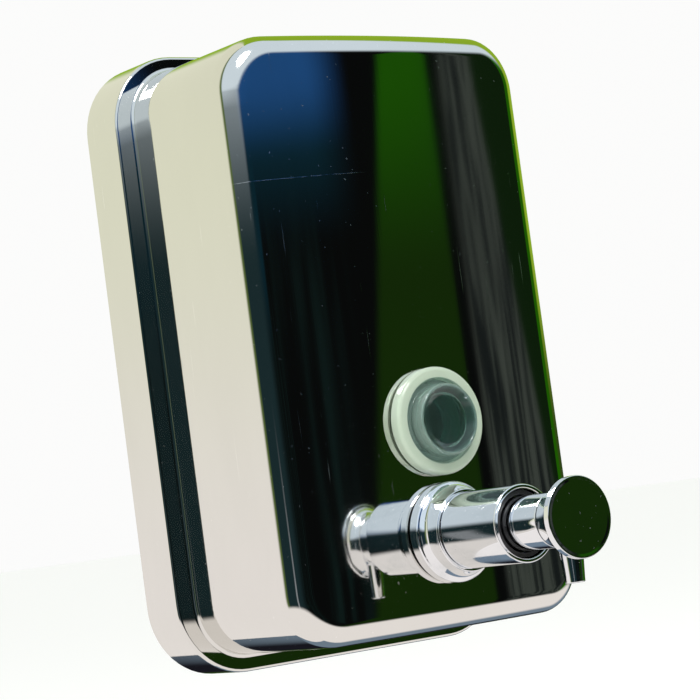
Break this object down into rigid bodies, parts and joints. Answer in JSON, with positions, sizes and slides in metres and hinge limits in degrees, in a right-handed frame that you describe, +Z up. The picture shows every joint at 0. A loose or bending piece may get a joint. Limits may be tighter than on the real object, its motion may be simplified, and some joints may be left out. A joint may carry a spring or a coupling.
{
  "type": "wall mounted soap dispenser",
  "caption": "Wall-mounted steel soap tank with a stepped rim, crowned front, round sight glass, push pump with a short spout and a locking top filler lid.",
  "frame": {"origin": "wall plane, at the middle of the width and half-way up the front box", "axes": "+Z up, +Y into the wall, -Y out of the front, +X to the right of a person facing the dispenser"},
  "size_m": [0.1072, 0.1119, 0.163],
  "materials": {
    "polished_steel": "mirror polished stainless steel with a faint vertical grain and fine scratches",
    "plain_steel": "mill finish stainless steel",
    "chrome": "bright chrome plate",
    "clear_plastic": "clear moulded acrylic",
    "white_plastic": "natural moulded polypropylene",
    "black_plastic": "black moulded acetal",
    "black_rubber": "moulded nitrile rubber",
    "spring_steel": "drawn stainless wire and balls"
  },
  "bodies": {
    "tank": {"front_shell": "polished_steel", "hinge_leaf": "polished_steel", "back_plate": "plain_steel", "hanger_strap": "plain_steel", "wall_bracket": "plain_steel", "security_screw": "plain_steel", "filler_frame": "plain_steel", "hinge_pin": "plain_steel", "collar_nut": "chrome", "barrel_sleeve": "chrome", "sight_glass": "clear_plastic", "suction_tube": "clear_plastic", "sight_nut": "white_plastic", "pump_body": "white_plastic", "inlet_elbow": "white_plastic", "inlet_strainer": "white_plastic", "guide_ring": "black_plastic", "sight_gasket": "black_rubber", "outer_gasket": "black_rubber", "inner_gasket": "black_rubber", "return_spring": "spring_steel", "inlet_ball": "spring_steel"},
    "lid": {"lid": "polished_steel", "lid_seal": "black_rubber", "lock_barrel": "chrome", "lock_nut": "plain_steel"},
    "lock": {"lock_core": "chrome", "lock_cam": "plain_steel", "cam_screw": "plain_steel"},
    "push_head": {"push_button": "chrome", "neck_sleeve": "chrome", "spout": "chrome", "piston_rod": "white_plastic", "piston_seal": "black_rubber", "outlet_ball": "spring_steel"}
  },
  "joints": [
    {"name": "pump_push", "type": "slide", "parent": "tank", "child": "push_head", "axis": [0, 1, 0], "range_m": [0, 0.011], "stiffness_N_per_m": 600, "springref_m": -0.01, "deforming": ["return_spring"]},
    {"name": "lid_open", "type": "hinge", "parent": "tank", "child": "lid", "pos_m": [0, -0.0232, 0.0791], "axis": [-1, 0, 0], "range_deg": [0, 100]},
    {"name": "lock_turn", "type": "hinge", "parent": "lid", "child": "lock", "pos_m": [0, -0.0356, 0.0772], "axis": [0, 0, -1], "range_deg": [0, 90]}
  ]
}
